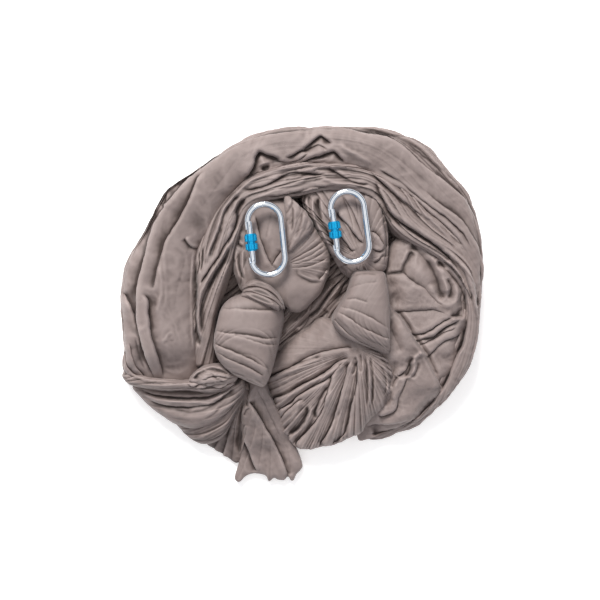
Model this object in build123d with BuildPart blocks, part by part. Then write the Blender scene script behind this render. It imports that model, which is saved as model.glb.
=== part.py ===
from build123d import *
from math import cos, radians, sin

# An aerial hammock of tricot cloth, coiled into a flat pile for storage.
# Each end of the cloth is knotted below a loop, and a screw-gate carabiner lies on each loop.
# Millimetres, +Z up, origin at the middle of the pile's footprint, on the surface it lies on.

# ---- carabiner: an oval ring bent from round rod
RING_LENGTH = 112.0
RING_WIDTH = 58.0
ROD_D = 9.5
BEND_R = (RING_WIDTH - ROD_D) / 2
STRAIGHT = RING_LENGTH - RING_WIDTH
NOSE_LIP_END = 16.3      # lower end of the lip that covers the gate's tip
HINGE_LIP_END = -23.4    # upper end of the lip beside the hinge
LIP = 2.0                # thickness of both lips
TONGUE = 4.0             # the flat tongues that enter the gate's two slots
NOSE_TONGUE_END = 17.9
TONGUE_FLAT = 4.3        # the hinge tongue's flat top, above the rivet
GAP = 0.3                # clearance round what moves
FIT = 0.05               # clearance where pieces touch but turn or slide

# ---- gate, on its own axis a little inside the rod's centreline
GATE_D = 9.2
GATE_X = -RING_WIDTH / 2 + LIP + GAP + GATE_D / 2
HINGE_Y = -28.5
GATE_TIP = 28.0
LATCH_Y = 22.0
SLOT = TONGUE + 2 * GAP
HINGE_SLOT_TOP = -23.0
TIP_SLOT_BOTTOM = 16.9
TIP_CHAMFER = 0.8
RIVET_D = 3.0
LATCH_D = 2.5
LATCH_NOTCH = LATCH_D + 0.7
PIN_HEAD = 0.25          # how far each pin's rounded end stands proud

# ---- return spring and plunger in the gate's bore
BORE_D = 4.5
BORE_DEPTH = 14.0
PLUNGER_D = 4.34
PLUNGER_TIP_D = 2.4
PLUNGER_BODY = 3.0
PLUNGER_TIP_FLAT = 0.5   # radius left flat on the plunger's rounded tip
WIRE_D = 0.7
SPRING_D = 3.6
SPRING_TURNS = 7

# ---- screw sleeve: (length, radius) of each band from the top rim down
SLEEVE_TOP = 10.4
SLEEVE_BORE_D = GATE_D + 0.12
COLLAR_CHAMFER = 0.6
MOUTH_D = 14.3           # counterbore that passes over the nose lip
MOUTH_DEPTH = 8.5
TOP_RIM = (1.4, 8.0)
UPPER_COLLAR = (9.6, 9.1)
GROOVE = (3.2, 6.3)
LOWER_COLLAR = (9.0, 9.1)
BOTTOM_RIM = (1.8, 6.8)
KNURLS = 20
KNURL_D = 1.5

# ---- where the two rings lie: centre and turn about +Z
LOOP_TOP = 100.0
RING_REST = 0.35
RING_Z = LOOP_TOP + ROD_D / 2 + RING_REST
RINGS = {"left": ((-50.7, 95.1), 6.0), "right": ((70.4, 113.6), 7.5)}
DENT_DEPTH = 4.8         # dent in each loop that the ring's sleeve sinks into
DENT_R = BEND_R - ROD_D / 2
SLEEVE_ROOM = 28.0
GATE_ROOM = STRAIGHT + 8

# ---- cloth
CLOTH_GAP = 1.5          # between neighbouring folds
CLOTH_STEPS = [(0.62, 0.0), (0.86, 6.0), (1.0, 13.0)]  # share of the height, drawn in by
CORE_TOP = 48.0
STACKED = CORE_TOP + 0.5
OUTER_TOP = 95.0
INNER_TOP = 94.0
GATHER_TOP = 78.0
FAN_TOP = 86.0
DRAPE_TOP = 74.0
SHORT_TAIL_TOP = 52.0
LONG_TAIL_TOP = 60.0
LEFT_KNOT_TOP = 122.0
RIGHT_KNOT_TOP = 118.0

OUTER_TURN = [
    (-262, -97), (-267, -30), (-264, 40), (-238, 98), (-198, 165), (-130, 215), (-70, 250),
    (0, 264), (70, 263), (135, 255), (190, 232), (232, 184), (258, 130), (268, 70), (265, 0),
    (256, -60), (232, -118), (196, -162), (166, -180), (158, -166), (190, -124), (213, -60),
    (218, 10), (205, 75), (166, 138), (102, 185), (30, 202), (-50, 192), (-106, 160),
    (-145, 108), (-159, 45), (-160, -30), (-165, -88), (-210, -92),
]
INNER_TURN = [
    (-170, -64), (-172, 20), (-155, 100), (-115, 160), (-50, 200), (30, 212), (105, 195),
    (175, 142), (214, 75), (228, 10), (222, -60), (194, -68), (183, -20), (180, 20), (165, 75),
    (122, 130), (57, 160), (-17, 153), (-74, 118), (-108, 60), (-127, 0), (-130, -60),
]
CORE = [
    (-150, -90), (-150, 0), (-130, 90), (-70, 150), (0, 180), (70, 180), (140, 150), (190, 80),
    (190, 10), (150, 20), (118, 20), (104, -60), (60, -64), (0, -90), (-60, -100), (-90, -98),
]
LEFT_KNOT = [
    (-137, 4), (-83, 19), (-31, 13), (-30, -25), (-38, -59), (-58, -96), (-81, -98),
    (-117, -59), (-138, -19),
]
RIGHT_KNOT = [
    (54, 14), (78, 38), (98, 55), (121, 30), (124, -20), (120, -58), (98, -62), (72, -60),
    (54, -22),
]
LEFT_LOOP = [
    (-92, 26), (-96, 96), (-72, 148), (-10, 168), (22, 160), (30, 90), (24, 10), (-22, -2),
    (-60, 20),
]
RIGHT_LOOP = [
    (36, 150), (70, 182), (120, 168), (150, 120), (158, 60), (128, 34), (98, 58), (60, 30),
    (38, 40), (34, 90),
]
LEFT_GATHER = [
    (-262, -101), (-208, -96), (-141, -101), (-92, -101), (-86, -112), (-98, -130),
    (-127, -146), (-142, -170), (-146, -203), (-181, -181), (-244, -128),
]
RIGHT_GATHER = [
    (-56, -118), (-2, -97), (50, -70), (72, -68), (104, -80), (126, -116), (132, -154),
    (112, -198), (79, -199), (42, -206), (0, -214), (-22, -147),
]
SHORT_TAIL = [
    (-128, -150), (-100, -134), (-93, -150), (-94, -190), (-102, -236), (-121, -224),
    (-140, -206), (-138, -172),
]
LONG_TAIL = [
    (-88, -126), (-72, -106), (-56, -120), (-24, -149), (-3, -206), (2, -238), (-14, -261),
    (-50, -258), (-75, -255), (-97, -264), (-98, -236), (-89, -184),
]
RIGHT_DRAPE = [
    (131, 26), (150, 42), (172, 36), (179, -20), (190, -60), (184, -112), (155, -158),
    (136, -176), (136, -118), (112, -80), (128, -62),
]


def ring_plane(side, height=0.0):
    """The ring's own plane: +Y runs towards the nose and the gate is on its -X side."""
    (x, y), turn = RINGS[side]
    across = (cos(radians(turn)), sin(radians(turn)), 0)
    return Plane(origin=(x, y, RING_Z + height), x_dir=across, z_dir=(0, 0, 1))


def section_plane(side, x, y):
    """A plane across a bar that runs towards the nose."""
    ring = ring_plane(side)
    return Plane(origin=ring.from_local_coords((x, y, 0)), x_dir=ring.x_dir, z_dir=ring.y_dir)


def save(builder, name):
    builder.part.label = name
    export_step(builder.part, f"parts/{name}.step")


def make_frame(side):
    ring = ring_plane(side)
    edge = RING_WIDTH / 2
    half = STRAIGHT / 2
    bar = -BEND_R
    lip_face = -edge + LIP
    with BuildPart() as frame:
        with BuildLine(ring):
            Line((bar, NOSE_LIP_END), (bar, half))
            ThreePointArc((bar, half), (0, half + BEND_R), (-bar, half))
            Line((-bar, half), (-bar, -half))
            ThreePointArc((-bar, -half), (0, -half - BEND_R), (bar, -half))
            Line((bar, -half), (bar, HINGE_LIP_END))
        with BuildSketch(section_plane(side, bar, NOSE_LIP_END)):
            Circle(ROD_D / 2)
        sweep()
        # the rod beside each lip is cut back to a flat tongue
        for face in (1, -1):
            with BuildSketch(ring_plane(side, face * TONGUE / 2)):
                nose_top = GATE_TIP + 2 * GAP
                with Locations((lip_face, NOSE_LIP_END - 1)):
                    Rectangle(ROD_D * 2, nose_top - NOSE_LIP_END + 1, align=(Align.MIN, Align.MIN))
                with Locations((lip_face, HINGE_Y)):
                    Rectangle(ROD_D * 2, HINGE_LIP_END - HINGE_Y + 1, align=(Align.MIN, Align.MIN))
                with Locations((GATE_X, HINGE_Y)):
                    Circle(GATE_D / 2 + GAP + 2 * FIT)
            extrude(amount=face * ROD_D, mode=Mode.SUBTRACT)
        with BuildSketch(ring):
            with Locations((lip_face, NOSE_TONGUE_END)):
                Rectangle(ROD_D * 2, NOSE_TONGUE_END - NOSE_LIP_END + 1, align=(Align.MIN, Align.MAX))
            with Locations((lip_face, HINGE_Y + TONGUE_FLAT)):
                Rectangle(ROD_D * 2, ROD_D, align=(Align.MIN, Align.MIN))
            # the notch that holds the latch pin opens towards the inside of the ring
            with Locations((GATE_X, LATCH_Y)):
                Circle(LATCH_NOTCH / 2)
                Rectangle(ROD_D, LATCH_NOTCH, align=(Align.MIN, Align.CENTER))
            with Locations((GATE_X, HINGE_Y)):
                Circle(RIVET_D / 2 + FIT)
        extrude(amount=TONGUE / 2 + 0.01, both=True, mode=Mode.SUBTRACT)
    save(frame, f"carabiner_{side}_frame")


def make_gate(side):
    ring = ring_plane(side)
    r = GATE_D / 2
    with BuildPart() as gate:
        with BuildSketch(section_plane(side, GATE_X, HINGE_Y - r)):
            Circle(r)
        extrude(amount=GATE_TIP - HINGE_Y + r)
        with BuildSketch(ring):
            with Locations((GATE_X, HINGE_Y)):
                Circle(r)
                tip = Rectangle(GATE_D, GATE_TIP - HINGE_Y, align=(Align.CENTER, Align.MIN))
            chamfer(tip.vertices().group_by(Axis.Y)[-1], TIP_CHAMFER)
        extrude(amount=r, both=True, mode=Mode.INTERSECT)
        with BuildSketch(ring):
            with Locations((GATE_X, HINGE_SLOT_TOP)):
                Rectangle(2 * GATE_D, 2 * GATE_D, align=(Align.CENTER, Align.MAX))
            with Locations((GATE_X, TIP_SLOT_BOTTOM)):
                Rectangle(2 * GATE_D, 2 * GATE_D, align=(Align.CENTER, Align.MIN))
        extrude(amount=SLOT / 2, both=True, mode=Mode.SUBTRACT)
        with BuildSketch(section_plane(side, GATE_X, HINGE_SLOT_TOP)):
            Circle(BORE_D / 2)
        extrude(amount=BORE_DEPTH, mode=Mode.SUBTRACT)
        with BuildSketch(ring):
            with Locations((GATE_X, HINGE_Y)):
                Circle(RIVET_D / 2)
            with Locations((GATE_X, LATCH_Y)):
                Circle(LATCH_D / 2)
        extrude(amount=r, both=True, mode=Mode.SUBTRACT)
    save(gate, f"carabiner_{side}_gate")


def make_pin(side, y, diameter, name):
    half_length = GATE_D / 2 + PIN_HEAD
    with BuildPart() as pin:
        with BuildSketch(ring_plane(side)):
            with Locations((GATE_X, y)):
                Circle(diameter / 2)
        extrude(amount=half_length, both=True)
        fillet(pin.edges().filter_by(GeomType.CIRCLE), PIN_HEAD - FIT)
    save(pin, f"carabiner_{side}_{name}")


def plunger_base():
    """Station of the plunger's shoulder, behind its tip, along the gate."""
    return HINGE_SLOT_TOP + 2 * FIT


def make_plunger(side):
    tip_r = PLUNGER_TIP_D / 2
    tip_y = HINGE_Y + TONGUE_FLAT + FIT
    length = plunger_base() - tip_y
    with BuildPart() as plunger:
        with BuildSketch(section_plane(side, GATE_X, plunger_base())):
            Circle(PLUNGER_D / 2)
        extrude(amount=PLUNGER_BODY)
        with BuildSketch(section_plane(side, GATE_X, plunger_base())):
            Circle(tip_r)
        extrude(amount=-length)
        tip_rim = plunger.edges().filter_by(GeomType.CIRCLE).sort_by(Axis.Y)[0]
        fillet(tip_rim, tip_r - PLUNGER_TIP_FLAT)
    save(plunger, f"carabiner_{side}_gate_plunger")


def make_spring(side):
    start = plunger_base() + PLUNGER_BODY + WIRE_D / 2 + FIT
    end = HINGE_SLOT_TOP + BORE_DEPTH - WIRE_D / 2 - FIT
    with BuildPart() as spring:
        across = section_plane(side, GATE_X, start)
        rise = end - start
        with BuildLine() as coil:
            Helix(rise / SPRING_TURNS, rise, SPRING_D / 2, center=across.origin, direction=across.z_dir)
        with BuildSketch(Plane(origin=coil.line @ 0, z_dir=coil.line % 0)):
            Circle(WIRE_D / 2)
        sweep(is_frenet=True)
    save(spring, f"carabiner_{side}_gate_spring")


def sleeve_stations():
    """(top, bottom, radius) of each band of the sleeve, along the gate."""
    bands, y = [], SLEEVE_TOP
    for length, r in (TOP_RIM, UPPER_COLLAR, GROOVE, LOWER_COLLAR, BOTTOM_RIM):
        bands.append((y, y - length, r))
        y -= length
    return bands


def make_sleeve(side):
    with BuildPart() as sleeve:
        for top, bottom, r in sleeve_stations():
            with BuildSketch(section_plane(side, GATE_X, bottom)):
                Circle(r)
            extrude(amount=top - bottom)
        collars = sleeve.edges().filter_by(GeomType.CIRCLE).group_by(SortBy.RADIUS)[-1]
        chamfer(collars, COLLAR_CHAMFER)
        bottom_end = sleeve_stations()[-1][1]
        with BuildSketch(section_plane(side, GATE_X, bottom_end)):
            Circle(SLEEVE_BORE_D / 2)
        extrude(amount=SLEEVE_TOP - bottom_end, mode=Mode.SUBTRACT)
        with BuildSketch(section_plane(side, GATE_X, SLEEVE_TOP - MOUTH_DEPTH)):
            Circle(MOUTH_D / 2)
        extrude(amount=MOUTH_DEPTH, mode=Mode.SUBTRACT)
        # finger grips are shallow flutes along both collars
        for top, bottom, r in (sleeve_stations()[1], sleeve_stations()[3]):
            with BuildSketch(section_plane(side, GATE_X, bottom)):
                with PolarLocations(r + KNURL_D / 4, KNURLS):
                    Circle(KNURL_D / 2)
            extrude(amount=top - bottom, mode=Mode.SUBTRACT)
    save(sleeve, f"carabiner_{side}_lock_sleeve")


def footprint(outline, around=(), inset=0.0):
    """A fold's outline, drawn in by inset and kept clear of the outlines it lies against."""
    with BuildSketch() as shape:
        with BuildLine():
            Polyline(*outline, close=True)
        make_face()
        if inset:
            offset(amount=-inset, mode=Mode.REPLACE)
        for neighbour in around:
            offset(footprint(neighbour), amount=CLOTH_GAP + inset, mode=Mode.SUBTRACT)
    return shape.sketch


def make_cloth(name, outline, base, top, around=(), dents=()):
    """One fold or knot of the cloth as a plain pad, drawn in towards its top in three steps."""
    with BuildPart() as cloth:
        for share, inset in CLOTH_STEPS:
            with BuildSketch(Plane.XY.offset(base)):
                add(footprint(outline, around, inset))
            extrude(amount=share * (top - base))
        for side in dents:
            with BuildSketch(ring_plane(side, -ROD_D / 2 - RING_REST)):
                SlotOverall(STRAIGHT + 2 * DENT_R, 2 * DENT_R, rotation=90)
                with Locations((-DENT_R, 0)):
                    Rectangle(SLEEVE_ROOM, GATE_ROOM)
            extrude(amount=-DENT_DEPTH, mode=Mode.SUBTRACT)
    save(cloth, name)


def make_pile():
    make_cloth("cloth_outer_turn", OUTER_TURN, 0, OUTER_TOP)
    make_cloth("cloth_inner_turn", INNER_TURN, 0, INNER_TOP, [OUTER_TURN])
    make_cloth("cloth_left_gather", LEFT_GATHER, 0, GATHER_TOP, [OUTER_TURN])
    make_cloth("cloth_right_gather", RIGHT_GATHER, 0, FAN_TOP, [RIGHT_KNOT])
    turns = [OUTER_TURN, INNER_TURN]
    make_cloth("cloth_right_drape", RIGHT_DRAPE, 0, DRAPE_TOP, turns + [RIGHT_KNOT, RIGHT_GATHER])
    make_cloth("cloth_short_tail", SHORT_TAIL, 0, SHORT_TAIL_TOP, [LEFT_GATHER])
    tail_sides = [LEFT_GATHER, SHORT_TAIL, RIGHT_GATHER]
    make_cloth("cloth_long_tail", LONG_TAIL, 0, LONG_TAIL_TOP, tail_sides + [LEFT_KNOT])
    core_sides = turns + [RIGHT_DRAPE, RIGHT_GATHER, LEFT_GATHER, LONG_TAIL]
    make_cloth("cloth_core", CORE, 0, CORE_TOP, core_sides)
    make_cloth("cloth_left_knot", LEFT_KNOT, STACKED, LEFT_KNOT_TOP, [INNER_TURN])
    make_cloth("cloth_right_knot", RIGHT_KNOT, STACKED, RIGHT_KNOT_TOP)
    make_cloth("cloth_left_loop", LEFT_LOOP, STACKED, LOOP_TOP, [LEFT_KNOT, INNER_TURN], ["left"])
    make_cloth(
        "cloth_right_loop", RIGHT_LOOP, STACKED, LOOP_TOP, [RIGHT_KNOT, INNER_TURN, LEFT_LOOP], ["right"]
    )


def main():
    make_pile()
    for side in RINGS:
        make_frame(side)
        make_gate(side)
        make_pin(side, HINGE_Y, RIVET_D, "hinge_rivet")
        make_pin(side, LATCH_Y, LATCH_D, "latch_pin")
        make_plunger(side)
        make_spring(side)
        make_sleeve(side)


main()
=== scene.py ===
import bpy
import math
import numpy as np
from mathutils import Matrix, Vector


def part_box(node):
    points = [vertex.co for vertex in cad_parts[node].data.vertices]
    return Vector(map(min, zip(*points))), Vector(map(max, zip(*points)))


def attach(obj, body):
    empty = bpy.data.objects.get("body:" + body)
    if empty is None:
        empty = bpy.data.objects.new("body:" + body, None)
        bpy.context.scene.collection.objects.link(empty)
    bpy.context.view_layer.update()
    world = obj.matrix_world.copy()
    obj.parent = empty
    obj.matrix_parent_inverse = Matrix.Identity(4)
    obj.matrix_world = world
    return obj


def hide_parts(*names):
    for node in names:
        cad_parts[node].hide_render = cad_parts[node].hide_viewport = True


# An aerial hammock of tricot, stored as a coiled pile, with two screw-gate carabiners on it.
# Cloth is drawn in millimetres in the part's own frame and written to the meshes in metres.
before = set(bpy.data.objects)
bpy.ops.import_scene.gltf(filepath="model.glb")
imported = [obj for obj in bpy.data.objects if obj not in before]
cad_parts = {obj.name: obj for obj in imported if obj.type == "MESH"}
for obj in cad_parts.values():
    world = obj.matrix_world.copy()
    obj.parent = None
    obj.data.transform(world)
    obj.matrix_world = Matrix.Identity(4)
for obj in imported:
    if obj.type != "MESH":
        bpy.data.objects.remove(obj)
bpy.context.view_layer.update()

MM = 0.001
CELL_ALONG, CELL_ACROSS = 1.9, 1.2       # size of a cloth mesh cell, mm
SHARP, NARROW = 0.66, 0.8                # how tightly every fold rolls, and how thin creases are
RING_TURN = {"left": math.radians(6), "right": math.radians(7.5)}
RING_HALF_LENGTH, RING_HALF_WIDTH = 56.0, 29.0
ROD_RADIUS = 4.75
RING_REST, SLEEVE_REST = 0.3, 0.4        # how far cloth stays below a rod and a sleeve, mm
CLOTH_RISE = 0.5                         # how steeply it may rise beside them
SLEEVE_X, SLEEVE_Y, SLEEVE_HALF, SLEEVE_RADIUS = -22.1, -2.1, 12.5, 9.1
END_SHARE, END_LEAST, END_MOST = 0.35, 3, 10     # length of a bundle's closed end, by its width
FOLD_SPAN = 45.0                         # how far from its line a fold can act, mm
LINE_SWAY, SWAY_SIZE = 0.9, 9            # how much a fold's line wanders, and over what length
NEAR_BLUR, NEAR_DEPTH = (2, 3), 6.0      # neighbourhoods, in cells, that a fold's depth is read
WIDE_BLUR, WIDE_DEPTH = (8, 12), 15.0    # against, and the depth in mm that counts as full
WORLD, SUN, SUN_SPREAD, SUN_FROM = 0.85, 3.3, 22, (-0.28, 1.0, 1.0)
COLOUR_A, COLOUR_B, COLOUR_OUT = 6, 7, 2         # colour sockets of a Mix node


# ---------------------------------------------------------------- numbers and curves
def lattice(seed):
    """Gradients of a repeatable noise, one table for each seed."""
    angle = np.random.default_rng(seed).uniform(0, 2 * math.pi, (256, 256))
    return np.cos(angle), np.sin(angle)


def noise(u, v, seed):
    """Smooth gradient noise at u, v, about -0.7 to 0.7."""
    gx, gy = lattice(seed)
    iu, iv = np.floor(u).astype(int), np.floor(v).astype(int)
    fu, fv = u - iu, v - iv
    su, sv = (t * t * t * (t * (t * 6 - 15) + 10) for t in (fu, fv))

    def corner(du, dv):
        a, b = (iu + du) % 256, (iv + dv) % 256
        return gx[a, b] * (fu - du) + gy[a, b] * (fv - dv)

    low = corner(0, 0) * (1 - su) + corner(1, 0) * su
    high = corner(0, 1) * (1 - su) + corner(1, 1) * su
    return low * (1 - sv) + high * sv


def ease(t):
    t = np.clip(t, 0, 1)
    return t * t * (3 - 2 * t)


def catmull(points, closed=False, steps=12):
    """A smooth line through given points, which may have more than two coordinates."""
    p = np.asarray(points, float)
    if closed:
        ends = np.vstack([p[-1:], p, p[:2]])
    else:
        ends = np.vstack([2 * p[0] - p[1], p, 2 * p[-1] - p[-2]])
    t = (np.arange(steps) / steps)[:, None]
    runs = []
    for a, b, c, d in zip(ends[:-3], ends[1:-2], ends[2:-1], ends[3:]):
        runs.append(0.5 * (2 * b + (c - a) * t + (2 * a - 5 * b + 4 * c - d) * t**2
                           + (3 * b - a - 3 * c + d) * t**3))
    last = p[:1] if closed else p[-1:]
    return np.vstack(runs + [last])


def resample(line, count, by=3):
    """The line at evenly spaced points, measured along its first coordinates."""
    step = np.linalg.norm(np.diff(line[:, :by], axis=0), axis=1)
    at = np.concatenate([[0], np.cumsum(step)])
    want = np.linspace(0, at[-1], count)
    return np.stack([np.interp(want, at, line[:, k]) for k in range(line.shape[1])], axis=1)


# ---------------------------------------------------------------- a sheet as a grid of points
class Grid:
    """A sheet's points: rows run along the cloth's strands, columns across them.

    A closed grid is a pad drawn round a hub: its first row is the hub, and its columns go round."""

    def __init__(self, points, closed=False):
        self.p = points
        self.first = points
        self.closed = closed
        self.out = self.normals()
        across = self.steps()[1]
        self.side = across / (np.linalg.norm(across, axis=2, keepdims=True) + 1e-9)

    def steps(self):
        du = np.gradient(self.p, axis=0)
        if self.closed:
            dv = (np.roll(self.p, -1, axis=1) - np.roll(self.p, 1, axis=1)) / 2
        else:
            dv = np.gradient(self.p, axis=1)
        return du, dv

    def normals(self):
        du, dv = self.steps()
        n = np.cross(du, dv)
        n /= np.linalg.norm(n, axis=2, keepdims=True) + 1e-9
        if self.closed:
            middle = n[1:4].mean((0, 1))
            n[0] = middle / (np.linalg.norm(middle) + 1e-9)
        flat = n[..., 2][self.p[..., 2] > np.percentile(self.p[..., 2], 70)]
        return n if flat.mean() > 0 else -n

    def push(self, amount):
        """Moves points along the smooth form's own outward direction."""
        self.p = self.p + self.out * amount[..., None]
        return self

    def lengths(self):
        """How far each point is along its strand and across the strands, in mm."""
        du, dv = self.steps()
        along = np.cumsum(np.linalg.norm(du, axis=2), axis=0)
        across = np.cumsum(np.linalg.norm(dv, axis=2), axis=1)
        return along, across


def strand(stations, across=2.4, under=(35, 65), rows=CELL_ALONG):
    """A gathered bundle lofted between an inner and an outer edge line.

    A station is (inner x, inner y, outer x, outer y, crest height, height of the widest level)."""
    st = np.asarray(stations, float)
    middle = (st[:, :2] + st[:, 2:4]) / 2
    fine = catmull(np.hstack([middle, st]))
    length = np.linalg.norm(np.diff(fine[:, :2], axis=0), axis=1).sum()
    count = max(12, int(length / rows))
    line = resample(fine, count, by=2)[:, 2:]
    psi = np.linspace(math.radians(-under[0]), math.pi + math.radians(under[1]), 180)
    c, s = np.cos(psi), np.sin(psi)
    side = -np.sign(c) * np.abs(c) ** (2 / across)
    lift = np.sign(s) * np.abs(s) ** (2 / across)
    widths = np.linalg.norm(line[:, 2:4] - line[:, :2], axis=1)
    girth = widths.mean() + 2.0 * line[:, 4].mean()
    nv = max(12, int(girth / CELL_ACROSS))
    out = np.zeros((count, nv, 3))
    place = np.linspace(0, length, count)
    whole = np.ones(count)
    for distance, width in ((place, widths[0]), (length - place, widths[-1])):
        cap = np.clip(END_SHARE * width, END_LEAST, END_MOST)
        whole *= np.sqrt(1 - (1 - np.clip(distance / cap, 0.0005, 1)) ** 2)
    for i, (ix, iy, ox, oy, crest, waist) in enumerate(line):
        z = np.where(lift > 0, waist + (crest - waist) * lift, waist * (1 + 0.98 * lift))
        tuck = np.where(lift > 0, 1.0, 1.0 - 0.15 * lift * lift)
        x = (ix + ox) / 2 + (ox - ix) / 2 * side * tuck
        y = (iy + oy) / 2 + (oy - iy) / 2 * side * tuck
        # both ends are drawn in, so the bundle isn't an open tube
        z = z.min() + (z - z.min()) * whole[i]
        x = (ix + ox) / 2 + (x - (ix + ox) / 2) * (0.25 + 0.75 * whole[i])
        y = (iy + oy) / 2 + (y - (iy + oy) / 2) * (0.25 + 0.75 * whole[i])
        out[i] = resample(np.stack([x, y, z], axis=1), nv)
    return Grid(out)


def pad(hub, outline, tops, waist=30, round_=3.0, tuck=0.12):
    """A heap of cloth spread round a hub: its strands run out to the outline and turn under.

    The outline is flat: x, y, x, y and so on.
    tops are (x, y, height) of the crown, blended by distance."""
    loop = catmull(np.reshape(outline, (-1, 2)), closed=True)
    perimeter = np.linalg.norm(np.diff(loop, axis=0), axis=1).sum()
    rim = resample(loop, int(perimeter / (1.15 * CELL_ACROSS)) + 1, by=2)[:-1]
    hub = np.asarray(hub, float)
    reach = np.linalg.norm(rim - hub, axis=1).max()
    crown = np.asarray(tops, float)
    top_mean = crown[:, 2].mean()
    psi = np.linspace(0, math.radians(150), 200)
    s, c = np.sin(psi), np.cos(psi)
    rho = np.where(psi < math.pi / 2, np.abs(s) ** (2 / round_), 1 - tuck * (1 - s) / 0.5)
    lift = np.where(psi < math.pi / 2, np.abs(c) ** (2 / round_), c / abs(math.cos(psi[-1])))
    height = np.where(lift > 0, waist + (top_mean - waist) * lift, waist * (1 + lift))
    profile = np.stack([rho * reach, height, rho, lift], axis=1)
    length = np.linalg.norm(np.diff(profile[:, :2], axis=0), axis=1).sum()
    profile = resample(profile, int(length / (0.75 * CELL_ALONG)), by=2)
    rho, lift = profile[:, 2][:, None], profile[:, 3][:, None]
    x = hub[0] + (rim[:, 0] - hub[0])[None] * rho
    y = hub[1] + (rim[:, 1] - hub[1])[None] * rho
    weight = 1 / ((x[..., None] - crown[:, 0])**2 + (y[..., None] - crown[:, 1])**2 + 15**2) ** 1.5
    top = (weight * crown[:, 2]).sum(-1) / weight.sum(-1)
    z = np.where(lift > 0, waist + (top - waist) * lift, 1 + waist * (1 + lift * 0.97))
    return Grid(np.stack([x, y, z], axis=2), closed=True)


# ---------------------------------------------------------------- pleats and wrinkles
def pleats(grid, wide, along, depth, seed, mask=None, fan=False, lean=0.0, steep=0.22):
    """Long pleats along a sheet's strands: steep on one side, easy on the other."""
    u, v = grid.lengths()
    local = np.ones_like(v)
    if fan:
        rim = v[-max(2, len(v) // 4)]
        local = np.clip(v[:, -1:] / rim[-1], 0.05, 1.2) * np.ones_like(v)
        v = np.broadcast_to(rim, v.shape)
    wander = 1.1 * wide * noise(u / (1.4 * along), v / (4 * wide), seed + 11)
    phase = (v + wander) / wide + 0.9 * noise(v / (2.2 * wide), u / (4 * along), seed + 5)
    k = np.floor(phase)
    x = phase - k
    rise = np.sqrt(np.clip(1 - (1 - x / steep) ** 2, 0, 1))
    shape = np.where(x < steep, rise, np.clip((1 - x) / (1 - steep), 0, 1) ** 0.8)
    amount = np.clip(0.65 + 1.3 * noise(u / along + 7.3 * k, 3.7 * k + 0.5, seed), 0.12, 1.4)
    bulge = (shape * amount - 0.45) * local * (0.3 + 0.7 * ease(grid.out[..., 2] / 0.6))
    if mask is not None:
        bulge = bulge * mask(u / u.max(), v / v.max(), grid.p)
    if grid.closed:
        t = np.linspace(0, 1, v.shape[1])
        bulge = bulge * ease(t / 0.04) * ease((1 - t) / 0.04)
    grid.p = grid.p - grid.side * (lean * depth * bulge)[..., None]
    return grid.push(depth * bulge)


def furrows(grid, angle, wide, along, depth, seed, mask=None):
    """Soft gathers that run in one direction across the part, whatever the sheet's own rows do."""
    a = math.radians(angle)
    x, y, z = grid.p[..., 0], grid.p[..., 1], grid.p[..., 2]
    u = x * math.cos(a) + y * math.sin(a)
    v = -x * math.sin(a) + y * math.cos(a) + 0.4 * z
    wander = 0.9 * wide * noise(u / (1.2 * along), v / (3 * wide), seed + 7)
    n = np.abs(noise(u / along, (v + wander) / wide, seed)) / 0.5
    bulge = np.clip(n, 0, 1.2) ** 0.7
    if mask is not None:
        bulge = bulge * mask(u / (abs(u).max() + 1), v / (abs(v).max() + 1), grid.p)
    return grid.push(depth * (bulge - 0.5))


def turned(grid, degrees=34):
    """A sheet's points with x and y turned, so that noise doesn't line up with the frame."""
    c, s = math.cos(math.radians(degrees)), math.sin(math.radians(degrees))
    x, y, z = grid.p[..., 0], grid.p[..., 1], grid.p[..., 2]
    return c * x - s * y, s * x + c * y, z


def ripple(grid, size, height, seed):
    """Small soft unevenness all over a sheet."""
    x, y, z = turned(grid)
    amount = noise(x / size + z / (2 * size), y / size - z / (3 * size), seed)
    amount = amount + 0.5 * noise(2.1 * x / size, 2.1 * y / size + z / size, seed + 1)
    return grid.push(height * amount)


def crumple(grid, size, height, seed):
    """Faint creases with sharp crests and soft hollows between them."""
    x, y, z = turned(grid)
    bend = 0.9 * noise(x / (1.6 * size), y / (1.6 * size), seed + 5)
    sway = 0.9 * noise(x / (1.6 * size) + 7, y / (1.6 * size) - 4, seed + 6)
    crest = 0.3 - np.abs(noise(x / size + bend, y / size + z / (2 * size) + sway, seed))
    fine = 0.3 - np.abs(noise(2.3 * x / size + sway, 2.3 * y / size + z / size + bend, seed + 1))
    return grid.push(height * (crest + 0.35 * fine))


def blur(h, reach, closed):
    """A grid of heights averaged over so many rows and columns each way, twice."""
    for axis, half in ((0, reach[0]), (1, reach[1])) * 2:
        mode = "wrap" if closed and axis == 1 else "edge"
        width = [(0, 0), (0, 0)]
        width[axis] = (half + 1, half)
        total = np.cumsum(np.pad(h, width, mode=mode), axis=axis)
        count = h.shape[axis]
        high = np.take(total, np.arange(2 * half + 1, 2 * half + 1 + count), axis=axis)
        h = (high - np.take(total, np.arange(count), axis=axis)) / (2 * half + 1)
    return h


def depth_in_folds(grid):
    """How far each point lies below (under 0.5) or above its surroundings, 0 to 1."""
    h = ((grid.p - grid.first) * grid.out).sum(axis=2)
    near = h - blur(h, NEAR_BLUR, grid.closed)
    wide = h - blur(h, WIDE_BLUR, grid.closed)
    return np.clip(0.5 + near / NEAR_DEPTH + wide / WIDE_DEPTH, 0, 1)


# ---------------------------------------------------------------- folds pressed into a sheet
# A fold's line is given flat, as x, y, x, y and so on in mm.
def fold(line, drop=6, reach=9, rise=2, roll=5, over=2.5, ends=0.16):
    """An upper layer on the left of the line rolls over a lower one on its right."""
    return ("fold", line, (drop, reach, rise, SHARP * roll, over, ends))


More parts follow.
